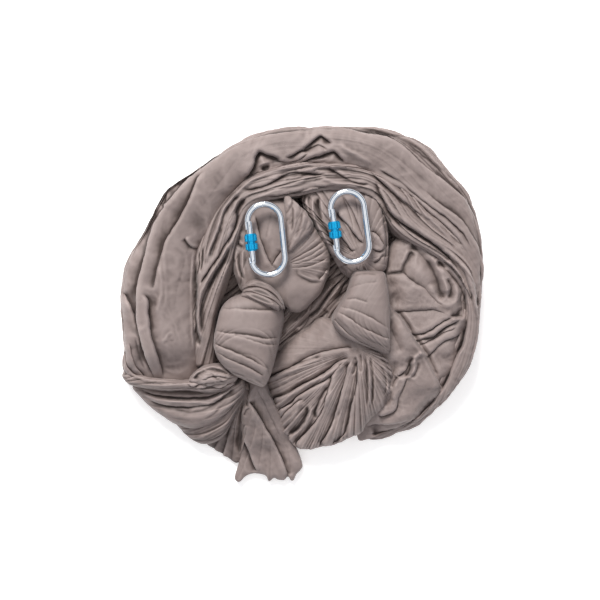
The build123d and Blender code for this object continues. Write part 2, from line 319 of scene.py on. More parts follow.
def groove(line, depth=6, width=7, ends=0.2):
    """A narrow valley with rounded shoulders."""
    return ("groove", line, (depth, NARROW * width, ends))


def ridge(line, height=4, width=5, ends=0.2):
    """A thin raised cord of cloth."""
    return ("ridge", line, (height, NARROW * width, ends))


def dent(x, y, depth, size):
    """A soft round hollow, or a swelling where the depth is negative."""
    return ("dent", (x, y), (depth, size))


def softened(folds, wider=1.6, shallower=0.85):
    """The same folds in slacker cloth: less deep and more rounded."""
    slack = []
    for kind, line, size in folds:
        if kind == "fold":
            drop, reach, rise, roll, over, ends = size
            size = (shallower * drop, reach, shallower * rise, wider * roll, over, ends)
        elif kind != "dent":
            depth, width, ends = size
            size = (shallower * depth, wider * width, ends)
        slack.append((kind, line, size))
    return slack


def beside(xy, line):
    """Signed distance from a line, positive on its left, and the place along it, 0 to 1."""
    best = np.full(len(xy), 1e9)
    side = np.ones(len(xy))
    along = np.zeros(len(xy))
    index = np.zeros(len(xy), int)
    lengths = np.linalg.norm(np.diff(line, axis=0), axis=1)
    total = lengths.sum()
    before = 0.0
    for k, (a, b, length) in enumerate(zip(line[:-1], line[1:], lengths)):
        run = (b - a) / max(length, 1e-6)
        rel = xy - a
        t = np.clip(rel @ run, 0, length)
        off = rel - t[:, None] * run
        d = np.hypot(off[:, 0], off[:, 1])
        near = d < best
        best[near] = d[near]
        turn = run[0] * rel[:, 1] - run[1] * rel[:, 0]
        side[near] = np.where(turn[near] >= 0, 1.0, -1.0)
        along[near] = (before + t[near]) / total
        index[near] = k
        before += length
    return best * side, along, index


def press(grid, folds):
    """Moves a sheet's points by its folds, where the sheet faces up."""
    shape = grid.p.shape
    base = grid.p.reshape(-1, 3)
    p = base.copy()
    up = ease((grid.normals()[..., 2].reshape(-1) - 0.0) / 0.45)
    for kind, line, size in folds:
        line = np.reshape(line, (-1, 2))
        if kind == "dent":
            depth, spread = size
            d2 = ((base[:, :2] - line[0]) ** 2).sum(1)
            p[:, 2] -= depth * np.exp(-d2 / spread**2) * up
            continue
        smooth = catmull(line, steps=5)
        low, high = smooth.min(0) - FOLD_SPAN, smooth.max(0) + FOLD_SPAN
        near = np.all((base[:, :2] > low) & (base[:, :2] < high), axis=1)
        inside = np.where(near & (up > 0.02))[0]
        if not len(inside):
            continue
        d, t, k = beside(base[inside, :2], smooth)
        seed = int(abs(7 * line[0][0] + 13 * line[0][1] + len(line))) % 997
        place = t * np.linalg.norm(np.diff(smooth, axis=0), axis=1).sum()
        x, y = base[inside, 0] / SWAY_SIZE, base[inside, 1] / SWAY_SIZE
        d = d + LINE_SWAY * noise(x, y, seed)
        uneven = np.clip(0.85 + 0.9 * noise(place / 26, np.full(len(d), 0.5), seed), 0.35, 1.2)
        fade = ease(t / size[-1]) * ease((1 - t) / size[-1]) * up[inside] * uneven
        if kind == "fold":
            drop, reach, rise, roll, over, _ = size
            low_side = -drop * np.clip(1 + d / (1.25 * reach), 0, 1) ** 1.9
            rolled = np.sqrt(np.clip(1 - (1 - np.clip(d / roll, 0, 1)) ** 2, 0, 1))
            high_side = -drop * (1 - rolled) * (d < roll) + rise * rolled * np.clip(
                1 - (d - roll) / (3.5 * roll), 0, 1) ** 1.5
            p[inside, 2] += np.where(d < 0, low_side, high_side) * fade
            lean = over * np.exp(-((d - 0.4 * roll) / (0.6 * roll)) ** 2) * fade
            runs = np.diff(smooth, axis=0)
            runs /= np.linalg.norm(runs, axis=1)[:, None] + 1e-9
            p[inside, 0] += runs[k, 1] * lean
            p[inside, 1] -= runs[k, 0] * lean
        elif kind == "groove":
            depth, width, _ = size
            cut = np.where(d > 0, np.clip(1 - d / width, 0, 1) ** 1.6,
                           np.clip(1 + d / (2.4 * width), 0, 1) ** 2.0)
            shoulder = 0.2 * np.exp(-((d - 1.1 * width) / (0.6 * width)) ** 2)
            p[inside, 2] -= depth * fade * (cut - shoulder)
        else:
            height, width, _ = size
            p[inside, 2] += height * fade * np.exp(-(d / width) ** 2)
    grid.p = p.reshape(shape)
    return grid


def ring_limit(x, y):
    """How high cloth may stand under the carabiners, in mm."""
    limit = np.full(x.shape, 1e3)
    for side, turn in RING_TURN.items():
        low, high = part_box(f"carabiner_{side}_frame")
        cx, cy = (low[0] + high[0]) / 2 / MM, (low[1] + high[1]) / 2 / MM
        floor = low[2] / MM
        lx = (x - cx) * math.cos(turn) + (y - cy) * math.sin(turn)
        ly = -(x - cx) * math.sin(turn) + (y - cy) * math.cos(turn)
        bow = RING_HALF_WIDTH - ROD_RADIUS
        straight = RING_HALF_LENGTH - RING_HALF_WIDTH
        rod = np.abs(np.hypot(lx, np.maximum(np.abs(ly) - straight, 0)) - bow)
        sleeve_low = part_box(f"carabiner_{side}_lock_sleeve")[0][2] / MM
        sleeve = np.hypot(np.maximum(np.abs(lx - SLEEVE_X) - SLEEVE_RADIUS, 0),
                          np.maximum(np.abs(ly - SLEEVE_Y) - SLEEVE_HALF, 0))
        limit = np.minimum(limit, floor - RING_REST + CLOTH_RISE * np.maximum(rod - ROD_RADIUS, 0))
        limit = np.minimum(limit, sleeve_low - SLEEVE_REST + CLOTH_RISE * sleeve)
    return limit


def settle(grid, least=1.0, spread=3.0):
    """Keeps a sheet above the floor and under the carabiners."""
    x, y, z = grid.p[..., 0], grid.p[..., 1], grid.p[..., 2]
    low = least + spread
    z = np.where(z < low, least + spread * np.exp(np.minimum(z - low, 0) / spread), z)
    limit = ring_limit(x, y)
    over = z - limit + 1.5
    z = np.where(over > 0, limit - 1.5 * np.exp(-np.maximum(over, 0) / 1.5), z)
    grid.p = np.stack([x, y, z], axis=2)
    return grid


# ---------------------------------------------------------------- from grids to pieces
def piece(name, grid, node=None, shaded=0.0):
    """A sheet object from a grid, given the cloth material and standing for its CAD solid.

    A shaded piece is darkened all over with painted shade, as cloth deep among the others would be."""
    settle(grid)
    p = grid.p
    nu, nv = p.shape[:2]
    middle = nu // 2, nv // 2
    upward = grid.normals()[middle] @ np.cross(*[s[middle] for s in grid.steps()]) > 0
    along, across = grid.lengths()
    if grid.closed:
        verts = np.vstack([p[0].mean(0)[None], p[1:].reshape(-1, 3)])
        i, j = np.meshgrid(np.arange(nu - 2), np.arange(nv), indexing="ij")
        a, b = (1 + i * nv + j).ravel(), (1 + i * nv + (j + 1) % nv).ravel()
        quads = np.stack([a, a + nv, b + nv, b], axis=1)
        k = np.arange(nv)
        caps = np.stack([0 * k, 1 + k, 1 + (k + 1) % nv], axis=1)
    else:
        verts = p.reshape(-1, 3)
        i, j = np.meshgrid(np.arange(nu - 1), np.arange(nv - 1), indexing="ij")
        a = (i * nv + j).ravel()
        quads = np.stack([a, a + nv, a + nv + 1, a + 1], axis=1)
        caps = np.zeros((0, 3), int)
    if not upward:
        quads, caps = quads[:, ::-1], caps[:, ::-1]
    mesh = bpy.data.meshes.new(name)
    mesh.from_pydata((verts * MM).tolist(), [], quads.tolist() + caps.tolist())
    mesh.shade_smooth()
    mesh.materials.append(CLOTH)
    uv = mesh.uv_layers.new(name="weave")
    corner = np.zeros(len(mesh.loops), dtype=int)
    mesh.loops.foreach_get("vertex_index", corner)
    if grid.closed:
        row = np.where(corner == 0, 0, (corner - 1) // nv + 1)
        col = np.where(corner == 0, 0, (corner - 1) % nv)
    else:
        row, col = corner // nv, corner % nv
    uv.data.foreach_set("uv", (np.stack([along[row, col], across[row, col]], axis=1) * MM).ravel())
    # painted shade: the colour is darkened where the sheet lies low among its folds, and over all
    # of a shaded piece
    level = np.clip(depth_in_folds(grid) - shaded, 0, 1)
    level = np.concatenate([level[0, :1], level[1:].ravel()]) if grid.closed else level.ravel()
    mesh.attributes.new("fold_shade_level", "FLOAT", "POINT").data.foreach_set("value", level)
    obj = bpy.data.objects.new(name, mesh)
    bpy.context.collection.objects.link(obj)
    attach(obj, "sling")
    if node:
        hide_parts(node)
    return obj


# ---------------------------------------------------------------- materials
def new_node(tree, kind, inputs=None, **settings):
    """A shader node with its settings and its inputs' values."""
    n = tree.nodes.new("ShaderNode" + kind)
    for key, value in settings.items():
        setattr(n, key, value)
    for key, value in (inputs or {}).items():
        n.inputs[key].default_value = value
    return n


def join(start, out, end, into):
    start.id_data.links.new(start.outputs[out], end.inputs[into])


def material(name, values):
    """A new material, its node tree and its shader."""
    m = bpy.data.materials.new(name)
    m.use_nodes = True
    shader = m.node_tree.nodes["Principled BSDF"]
    for key, value in values.items():
        shader.inputs[key].default_value = value
    return m, m.node_tree, shader


def graded(tree, source, out, *stops):
    """A source's value turned into colour, through stops of (place, colour)."""
    n = new_node(tree, "ValToRGB")
    elements = n.color_ramp.elements
    for element, (place, colour) in zip(elements, (stops[0], stops[-1])):
        element.position, element.color = place, (*colour, 1)
    for place, colour in stops[1:-1]:
        elements.new(place).color = (*colour, 1)
    join(source, out, n, "Fac")
    return n


def multiplied(tree, a, a_out, b, factor=1.0):
    n = new_node(tree, "Mix", {"Factor": factor}, data_type="RGBA", blend_type="MULTIPLY")
    join(a, a_out, n, COLOUR_A)
    join(b, "Color", n, COLOUR_B)
    return n


def speckle(tree, coords, scale, detail):
    n = new_node(tree, "TexNoise", {"Scale": scale, "Detail": detail})
    join(coords, "Object", n, "Vector")
    return n


def bumped(tree, pattern, shader, strength, distance):
    n = new_node(tree, "Bump", {"Strength": strength, "Distance": distance})
    join(pattern, "Fac", n, "Height")
    join(n, "Normal", shader, "Normal")


def tricot():
    """Stretch nylon tricot: fine ribs, a soft sheen and slightly uneven dye."""
    m, t, shader = material("tricot", {
        "Roughness": 0.58, "Specular IOR Level": 0.4, "Sheen Weight": 0.2, "Sheen Roughness": 0.4,
        "Sheen Tint": (0.95, 0.88, 0.86, 1)})
    coords = new_node(t, "TexCoord")
    stretch = new_node(t, "Mapping", {"Scale": (150, 1100, 1)})
    join(coords, "UV", stretch, "Vector")
    rib = new_node(t, "TexWave", {"Scale": 0.32, "Distortion": 1.2, "Detail": 1.0},
                   wave_type="BANDS", bands_direction="Y")
    join(stretch, "Vector", rib, "Vector")
    tone = graded(t, speckle(t, coords, 11, 6), "Fac",
                  (0.3, (0.345, 0.275, 0.255)), (0.7, (0.418, 0.338, 0.316)))
    colour = multiplied(t, tone, "Color", rib, 0.12)
    # painted highlight and shade: the mesh's pointiness leaves fold edges paler and creases darker,
    # and cloth deep in a fold gets painted shade from its fold level
    edge = graded(t, new_node(t, "NewGeometry"), "Pointiness",
                  (0.42, (0.42, 0.40, 0.39)), (0.5, (0.80, 0.79, 0.785)), (0.58, (1, 1, 1)))
    colour = multiplied(t, colour, COLOUR_OUT, edge)
    # painted shade: darker where the sheet lies low among its folds
    level = new_node(t, "Attribute", attribute_name="fold_shade_level")
    painted_fold_shade = graded(t, level, "Fac", (0.1, (0.30, 0.275, 0.265)), (0.46, (0.84, 0.83, 0.825)),
                   (0.66, (1, 1, 1)))
    colour = multiplied(t, colour, COLOUR_OUT, painted_fold_shade)
    join(colour, COLOUR_OUT, shader, "Base Color")
    bumped(t, rib, shader, 0.2, 0.0003)
    return m


def metal(name, colour, roughness, grain, metallic=1.0):
    """A metal finish whose shine varies a little, with fine brushed marks."""
    m, t, shader = material(name, {"Metallic": metallic})
    coords = new_node(t, "TexCoord")
    smear = speckle(t, coords, 160, 5)
    shine = new_node(t, "MapRange", {"From Min": 0.3, "From Max": 0.7, "To Min": roughness * 0.7,
                                     "To Max": roughness * 1.4})
    join(smear, "Fac", shine, "Value")
    join(shine, "Result", shader, "Roughness")
    tone = graded(t, smear, "Fac", (0.25, [c * 0.86 for c in colour]), (0.75, colour))
    join(tone, "Color", shader, "Base Color")
    bumped(t, speckle(t, coords, grain, 3), shader, 0.15, 0.0002)
    return m


CLOTH = tricot()
STEEL = metal("polished_steel", (0.86, 0.90, 0.95), 0.09, 900)
RIVET = metal("rivet_steel", (0.70, 0.72, 0.75), 0.22, 1200)
SPRING = metal("spring_steel", (0.62, 0.64, 0.68), 0.25, 1500)
BLUE = metal("blue_anodised", (0.015, 0.48, 0.86), 0.2, 1400, metallic=0.8)


def finish_hardware():
    finishes = {"frame": STEEL, "gate": STEEL, "hinge_rivet": RIVET, "latch_pin": RIVET,
                "gate_plunger": STEEL, "gate_spring": SPRING, "lock_sleeve": BLUE}
    for side in ("left", "right"):
        for part, material in finishes.items():
            mesh = bpy.data.objects[f"carabiner_{side}_{part}"]
            for slot in mesh.material_slots:
                slot.material = material


# ---------------------------------------------------------------- the cloth
def outer_turn():
    g = strand([
        (-150, -128, -250, -118, 46, 25), (-150, -95, -264, -95, 68, 36),
        (-150, -60, -262, -60, 88, 42), (-151, 0, -266, 0, 94, 44), (-150, 50, -261, 50, 95, 44),
        (-146, 80, -247, 80, 95, 44), (-124, 112, -226, 118, 95, 44),
        (-108, 146, -200, 166, 95, 44), (-90, 168, -161, 194, 95, 44),
        (-72, 182, -121, 221, 95, 44), (-42, 194, -80, 247, 94, 44), (-8, 200, -40, 258, 94, 44),
        (30, 200, 0, 262, 94, 44), (60, 196, 45, 263, 95, 44), (96, 188, 90, 260, 96, 44),
        (116, 172, 140, 253, 96, 44), (136, 150, 180, 239, 95, 44), (160, 125, 206, 214, 94, 44),
        (184, 100, 224, 191, 92, 42), (204, 78, 247, 159, 88, 40), (218, 48, 260, 121, 84, 38),
        (226, 18, 268, 71, 78, 36), (230, -8, 266, 10, 72, 34), (228, -38, 262, -45, 68, 32),
        (216, -72, 250, -90, 63, 30), (200, -100, 232, -122, 57, 27),
        (184, -126, 210, -147, 48, 23), (164, -148, 192, -164, 38, 18),
        (140, -164, 163, -184, 28, 13), (112, -176, 120, -200, 20, 9),
        (96, -182, 98, -200, 14, 6)],
        across=2.9, under=(30, 60))
    rim = catmull([(60, 262), (100, 247), (140, 236), (175, 205), (200, 186), (240, 155),
                   (262, 100)])

    def outside(u, v, p):
        xy = p[..., :2].reshape(-1, 2)
        d = beside(xy, rim)[0].reshape(p.shape[:2])
        right = 0.1 * ease((p[..., 0] + 110) / 60)
        upper = 0.9 * ease((d + 2) / 8) * (p[..., 0] > 50)
        return right + upper + 0.2 * ease((20 - p[..., 1]) / 60) * (p[..., 0] > 150)

    def wall(u, v, p):
        quieter = 0.3 + 0.7 * ease((p[..., 0] + 130) / 90)
        return ease((0.62 - g.out[..., 2]) / 0.5) * ease(p[..., 2] / 14) * quieter

    def crown(u, v, p):
        return outside(u, v, p) * (1 - wall(u, v, p))

    pleats(g, 11, 170, 4.5, 21, mask=crown, lean=0.3)
    pleats(g, 5, 120, 1.8, 33, mask=crown)
    pleats(g, 27, 75, 16, 23, mask=wall)
    pleats(g, 12, 55, 8, 27, mask=wall)
    furrows(g, 75, 60, 220, 2.2, 41, mask=lambda u, v, p: ease((-60 - p[..., 0]) / 60))
    press(g, [
        # long folds down the outside of the left
        fold((-112, 222, -140, 203, -160, 187, -180, 166, -190, 153, -200, 141, -212, 122,
              -218, 105, -224, 88, -228, 70, -233, 50, -237, 32, -239, 10, -240, -10, -238, -30,
              -234, -50, -228, -70, -222, -90, -214, -112), drop=17, reach=30, rise=3.5, roll=7,
             over=3, ends=0.1),
        fold((-143, 196, -152, 180, -158, 165, -163, 152, -172, 135, -180, 120, -190, 105,
              -198, 90, -202, 75, -208, 58, -211, 42, -214, 30, -218, 20), drop=12, reach=24,
             rise=3, roll=7, ends=0.12),
        fold((-202, -108, -206, -90, -213, -65, -219, -45, -222, -25, -224, -8, -223, 2,
              -226, 12, -234, 16), drop=12, reach=18, rise=3, roll=6),
        fold((-237, -38, -243, -20, -248, -8, -254, 5, -262, 20), drop=10, reach=16, rise=3,
             roll=6),
        fold((-228, -114, -240, -107, -252, -98, -258, -85, -262, -62), drop=8, reach=12, rise=3),
        fold((-228, -110, -241, -95, -247, -80, -252, -55), drop=7, reach=11, rise=3),
        groove((-243, -45, -237, -75, -228, -98), 3, 5),
        fold((-196, 164, -197, 152, -201, 142), reach=10),
        ridge((-156, 82, -159, 50, -160, 10, -159, -30, -157, -70), 3, 3, ends=0.08),
        fold((-170, 98, -162, 86, -150, 84), drop=5, reach=8, rise=1.5, roll=4, over=1),
        ridge((-208, 58, -204, 45, -203, 20, -207, 2, -213, -18), 2.5, 4),
        ridge((-200, 82, -198, 40, -197, 10, -199, -14), 1.6, 4),
        ridge((-205, -54, -198, -50, -194, -43, -186, -38), 1.6, 2.5),
        groove((-202, -56, -192, -52, -184, -50), 1.2, 3),
        groove((-180, 40, -172, 34, -160, 38), 1.2, 6),
        dent(-186, -80, 3, 18),
        dent(-165, -50, -2, 16),
        dent(-150, 118, 4, 16),
        dent(-160, 150, -2, 20),
        # crumpled pits along the top
        fold((-86, 182, -78, 192, -70, 205, -67, 218, -62, 225, -52, 222, -40, 218, -26, 212),
             drop=15, reach=17, rise=3, roll=6, over=3),
        groove((-60, 197, -52, 202, -44, 203), 10, 6, ends=0.35),
        fold((-66, 196, -54, 190, -40, 196, -22, 202), drop=5, reach=8, roll=4),
        fold((-24, 214, -8, 222, 5, 230, 18, 241, 28, 247, 36, 243, 46, 233), drop=12, reach=16,
             rise=3, roll=6),
        fold((-14, 203, 4, 212, 24, 219, 46, 225, 56, 218, 66, 204), drop=12, reach=14, rise=3,
             roll=6),
        fold((0, 225, 14, 230, 26, 234, 40, 226), roll=4),
        fold((-38, 214, -20, 210, -4, 214, 10, 222), drop=5, roll=4),
        ridge((-30, 206, -6, 208, 20, 211, 40, 214), 3, 4),
        ridge((52, 236, 66, 226, 82, 217, 104, 206), 4, 5),
        # parallel folds round the upper right
        fold((244, 152, 220, 171, 200, 187, 175, 206, 155, 225, 140, 237, 120, 246, 100, 249,
              80, 254, 44, 262), drop=4.5, reach=13, rise=1.5, over=1.5, ends=0.08),
        fold((264, 64, 259, 86, 247, 106, 235, 123, 220, 135, 202, 147, 190, 157, 176, 170),
             drop=4, reach=12, rise=1.5, over=1),
        groove((110, 230, 140, 214, 170, 190, 196, 166), 1.2, 8),
        groove((80, 259, 120, 251, 150, 238, 180, 216, 205, 197, 228, 176), 3, 3.5, ends=0.1),
        groove((96, 258, 136, 248, 168, 230, 196, 208), 2.5, 3, ends=0.1),
        # long strands of the upper right, shaded on the side of the rings
        fold((98, 196, 126, 179, 152, 166, 173, 149, 199, 126, 220, 107, 237, 86), drop=9,
             rise=2.5, over=2, ends=0.1),
        fold((112, 178, 132, 160, 150, 146, 174, 126, 199, 105, 219, 82), drop=9, rise=2.5,
             over=2, ends=0.1),
        fold((108, 200, 140, 183, 166, 162, 190, 143, 215, 125, 237, 104, 249, 82), drop=4,
             reach=6, rise=1.5, roll=4, over=1, ends=0.12),
        ridge((120, 175, 147, 158, 170, 140, 196, 118, 214, 98), 3, 3, ends=0.1),
        # the edge that runs beside the drape and on along the bottom
        fold((236, 34, 240, 14, 243, -5, 243, -25, 240, -45, 236, -60, 228, -75, 222, -90,
              218, -102, 213, -115, 205, -128, 195, -142, 183, -155, 172, -166, 160, -173,
              140, -180, 120, -187, 104, -192), drop=16, reach=8, over=0, ends=0.04),
    ])
    crumple(g, 24, 1.8, 75)
    ripple(g, 34, 1.0, 71)
    return piece("coil_outer_turn", g, node="cloth_outer_turn")


def inner_turn():
    g = strand([
        (-126, -96, -162, -96, 58, 30), (-126, -60, -163, -60, 74, 38),
        (-124, -20, -163, -20, 86, 42), (-112, 20, -162, 15, 89, 44),
        (-98, 60, -161, 65, 91, 44), (-88, 95, -148, 104, 91, 44), (-78, 125, -126, 142, 91, 44),
        (-63, 144, -100, 172, 92, 44), (-36, 152, -73, 193, 93, 44), (0, 160, -16, 210, 93, 44),
        (40, 168, 34, 212, 94, 44), (82, 164, 80, 210, 94, 44), (104, 154, 128, 194, 95, 44),
        (116, 136, 164, 172, 95, 44), (130, 110, 194, 146, 94, 44), (150, 92, 222, 120, 92, 42),
        (176, 78, 243, 92, 89, 40), (202, 62, 256, 62, 85, 38), (222, 40, 262, 32, 80, 36),
        (233, 14, 264, 4, 72, 32), (236, -12, 260, -22, 64, 28), (232, -36, 248, -48, 52, 22)],
        across=2.9, under=(45, 60))
    rows = lambda u, v, p: 0.42 + 0.58 * ease((p[..., 0] + 60) / 60)
    pleats(g, 22, 300, 7, 117, mask=rows, lean=0.4)
    pleats(g, 10, 200, 4.5, 121, mask=rows, lean=0.4)
    pleats(g, 4.5, 100, 1.6, 133, mask=rows)
    press(g, [
        # the left: strands that climb from the panel's edge
        groove((-158, 84, -155, 50, -154, 10, -153, -25, -149, -62), 12, 7, ends=0.1),
        ridge((-147, -52, -150, -25, -149, 5, -138, 36, -120, 62, -104, 88, -94, 108), 7, 4,
              ends=0.1),
        groove((-145, -48, -146, -20, -145, 2, -134, 28, -122, 50, -110, 72, -100, 92), 9, 5.5,
               ends=0.1),
        ridge((-128, -22, -126, 10, -113, 42, -102, 66), 4, 9, ends=0.15),
        fold((-150, 28, -141, 44, -130, 60, -118, 78, -106, 100, -98, 118, -92, 140), drop=8,
             rise=3),
        ridge((-140, 62, -130, 86, -122, 106, -118, 122, -113, 141, -103, 154, -88, 170), 6, 4,
              ends=0.1),
        groove((-137, 66, -127, 90, -118, 112, -112, 132, -102, 148, -90, 162), 8, 5, ends=0.1),
        groove((-148, 80, -149, 60, -151, 42), 5, 3),
        groove((-143, 86, -144, 66, -147, 48), 5, 3),
        ridge((-118, 104, -112, 126, -104, 144, -92, 158), 4, 4),
        groove((-104, 106, -97, 124, -90, 146, -80, 156), 8, 6),
        # the top
        ridge((-100, 150, -90, 166, -78, 178, -60, 188, -40, 196, -20, 201, 0, 204, 20, 204,
               40, 203, 70, 203, 96, 200, 112, 192, 125, 182), 6, 4, ends=0.06),
        fold((-86, 168, -66, 172, -50, 176, -28, 190, 0, 195, 24, 192, 40, 190), drop=9, reach=13,
             roll=6),
        ridge((-66, 155, -40, 166, -10, 176, 10, 186, 30, 186, 45, 179, 70, 174, 90, 173), 5, 4,
              ends=0.08),
        fold((-50, 158, -25, 162, 0, 168, 20, 174, 44, 172), reach=8, roll=4),
        groove((-30, 182, -8, 184, 10, 192, 30, 194), 4, 4),
        fold((36, 204, 56, 192, 74, 181, 100, 176), drop=7, reach=10),
        # the right: long strands that sweep down
        fold((100, 196, 125, 174, 150, 152, 175, 132, 205, 114, 226, 95, 240, 72), drop=9,
             reach=11, rise=2.5, over=2, ends=0.08),
        fold((108, 182, 118, 158, 130, 136, 150, 120, 175, 104, 200, 88, 225, 66, 242, 42,
              250, 10), drop=11, reach=12, rise=2.5, over=2, ends=0.08),
        fold((122, 145, 145, 124, 165, 112, 190, 94, 214, 74, 232, 52, 244, 26, 248, 0), drop=9,
             reach=10, rise=2.5, over=2),
        groove((206, 64, 222, 51, 234, 35, 240, 14, 241, -6, 238, -26), 10, 4, ends=0.08),
        ridge((212, 68, 227, 53, 239, 35, 245, 12, 245, -10, 241, -32), 5, 3, ends=0.08),
        groove((220, 68, 236, 48, 246, 26, 250, 2, 248, -20, 243, -40), 10, 4, ends=0.08),
        ridge((230, 68, 243, 50, 252, 28, 255, 6, 253, -14), 4, 3),
        groove((236, 84, 250, 62, 257, 40, 260, 16, 259, -4), 12, 4.5, ends=0.08),
    ])
    ripple(g, 22, 0.5, 171)
    ripple(g, 8, 0.2, 172)
    return piece("coil_inner_turn", g, node="cloth_inner_turn")


def core():
    g = pad((10, 10), (
        -160, -100, -150, -40, -130, 20, -105, 100, -60, 150, 30, 165, 110, 150, 165, 90, 195, 10,
        175, -60, 110, -130, 10, -150, -70, -120, -120, -116),
            [(0, 0, 40), (60, 20, 38), (-40, 10, 46), (10, -30, 44), (-135, -85, 46)],
            waist=18, tuck=0.05)
    furrows(g, 48, 15, 80, 7, 205)
    furrows(g, 44, 6, 50, 2.5, 206)
    press(g, [
        ridge((-30, -42, 0, -20, 25, 5, 50, 35), 9, 6, ends=0.1),
        ridge((-10, -40, 15, -22, 40, 5, 62, 34), 7, 5, ends=0.1),
        groove((10, -18, 28, -6, 44, -16), 6, 5),
    ])
    ripple(g, 30, 2.0, 271)
    return piece("coil_core", g, node="cloth_core")


def left_loop():
    g = pad((-30, 58), (
        -84, 16, -94, 34, -100, 60, -98, 95, -90, 128, -76, 150, -62, 157, -40, 157, -24, 156,
        -16, 153, -8, 147, 4, 140, 14, 130, 20, 118, 26, 108, 34, 97, 41, 84, 44, 68, 43, 52,
        39, 38, 31, 18, 18, 3, 6, -8, -5, -13, -16, -11, -24, -4, -44, 4, -64, 12),
        [(-50, 95, 91), (-88, 80, 82), (-35, 140, 92), (-80, 130, 84), (0, 60, 92), (25, 70, 90),
         (20, 30, 86), (-2, 2, 82), (-60, 40, 88), (6, 110, 92), (-15, 25, 92)],
        waist=52, round_=4.5)
    right_side = lambda u, v, p: ease((p[..., 0] + 26) / 30) * ease((p[..., 1] - 34) / 14)
    pleats(g, 12, 60, 1.5, 305, fan=True, mask=right_side)
    pleats(g, 5, 40, 0.9, 306, fan=True, mask=right_side)
    furrows(g, 80, 10, 60, 3.5, 315, mask=lambda u, v, p: ease((-70 - p[..., 0]) / 14))
    press(g, [
        # inside the ring
        fold((-41, 55, -50, 68, -57, 84, -64, 112, -68, 132), drop=8, reach=14, rise=3, roll=6),
        fold((-27, 80, -33, 70, -42, 56)),
        groove((-42, 138, -48, 116, -53, 92), 1.5, 5),
        # folds of the flap
        fold((38, 97, 18, 82, 0, 72, -20, 62), drop=2, reach=7, rise=1, roll=4, over=1),
        fold((38, 90, 20, 76, 0, 66, -20, 60), drop=3, reach=8, rise=1.5, roll=4, over=1),
        fold((40, 82, 25, 71, 5, 62, -18, 58), drop=2, reach=7, rise=1, roll=4, over=1),
        fold((40, 70, 25, 61, 5, 55, -18, 54), drop=2.5, reach=8, rise=1.5, roll=4, over=1),
        groove((-4, 56, -6, 46, 4, 38, 22, 33, 38, 37), 2.5, 5),
        fold((41, 56, 34, 44, 26, 35), drop=5, reach=8, roll=4),
        dent(5, 48, 2.5, 16),
        dent(-2, 12, -2.5, 22),
        # left of the ring
        ridge((-96, 84, -95, 58, -86, 34), 5, 4),
        ridge((-86, 84, -85, 56, -80, 36), 5, 3.5),
        groove((-98, 104, -92, 90, -84, 84), 7, 4),
        groove((-91, 76, -90, 55, -83, 36), 6, 3.5),
        dent(-94, 97, 9, 6),
        dent(-88, 110, 5, 7),
    ])
    ripple(g, 18, 0.5, 371)
    ripple(g, 7, 0.2, 372)
    loop = piece("loop_left", g, node="cloth_left_loop")

    tongue = pad((-4, 118), (
        -24, 158, -17, 158, -12, 153, -4, 146, 5, 139, 12, 129, 17, 118, 15, 107, 6, 98, -6, 86,
        -16, 76, -21, 80, -23, 110, -24, 140),
        [(-18, 150, 95), (-14, 120, 97), (4, 125, 101), (10, 112, 100), (-10, 90, 99)], waist=84,
        round_=3.2)
    furrows(tongue, 62, 11, 50, 2.2, 325)
    press(tongue, [
        ridge((-20, 140, -16, 149, -12, 152, -6, 146, 3, 139), 3, 3, ends=0.25),
        groove((-14, 146, -12, 130, -14, 105), 4, 4),
        groove((2, 136, -2, 116, -9, 94), 2.5, 5),
        groove((10, 126, 6, 112, -4, 96), 1.5, 4),
    ])
    ripple(tongue, 9, 0.4, 326)
    piece("loop_left_tongue", tongue)
    return loop


def right_loop():
    g = pad((88, 66), (
        62, 46, 50, 64, 38, 84, 26, 104, 18, 122, 8, 136, 2, 148, 2, 160, 10, 172, 35, 177, 70, 175,
        95, 170, 110, 160, 120, 142, 126, 118, 128, 92, 127, 66, 122, 50, 104, 40, 80, 38),
        [(70, 112, 91), (20, 150, 88), (40, 110, 88), (100, 150, 91), (116, 100, 90), (70, 160, 90),
         (80, 70, 90), (118, 65, 88)], waist=52, round_=4.5)
    pleats(g, 16, 80, 4.0, 405, fan=True, lean=0.3,
           mask=lambda u, v, p: 1 - 0.6 * ease((p[..., 0] - 90) / 20))
    press(g, [
        ridge((16, 158, 17, 140, 20, 124, 28, 109, 38, 94, 50, 74, 62, 57, 76, 44), 8, 3.2,
              ends=0.08),
        groove((24, 158, 26, 138, 30, 122, 38, 108, 46, 92, 54, 78, 62, 66), 12, 5, ends=0.1),
        groove((6, 165, 4, 150, 9, 134), 6, 4),
        groove((11, 160, 11, 144, 13, 130), 4, 2.5),
        ridge((28, 158, 34, 142, 38, 128), 3, 3),
        fold((52, 138, 62, 124, 76, 108, 92, 88), drop=8, reach=12, rise=3, roll=6),
        fold((62, 160, 74, 140, 84, 118, 92, 94), drop=4),
        fold((58, 104, 68, 90, 78, 78)),
        fold((121, 60, 123, 84, 121, 112, 117, 140, 108, 160, 88, 172), drop=10, rise=3, roll=6,
             over=2),
        fold((102, 83, 114, 80, 119, 86, 112, 98, 100, 108), roll=4),
        groove((104, 60, 114, 66, 122, 76), 4, 4),
        groove((80, 56, 84, 48, 90, 42), 4, 3, ends=0.35),
        groove((90, 58, 94, 50, 97, 42), 3, 3, ends=0.35),
    ])
    ripple(g, 18, 0.5, 471)
    ripple(g, 7, 0.2, 472)
    return piece("loop_right", g, node="cloth_right_loop")


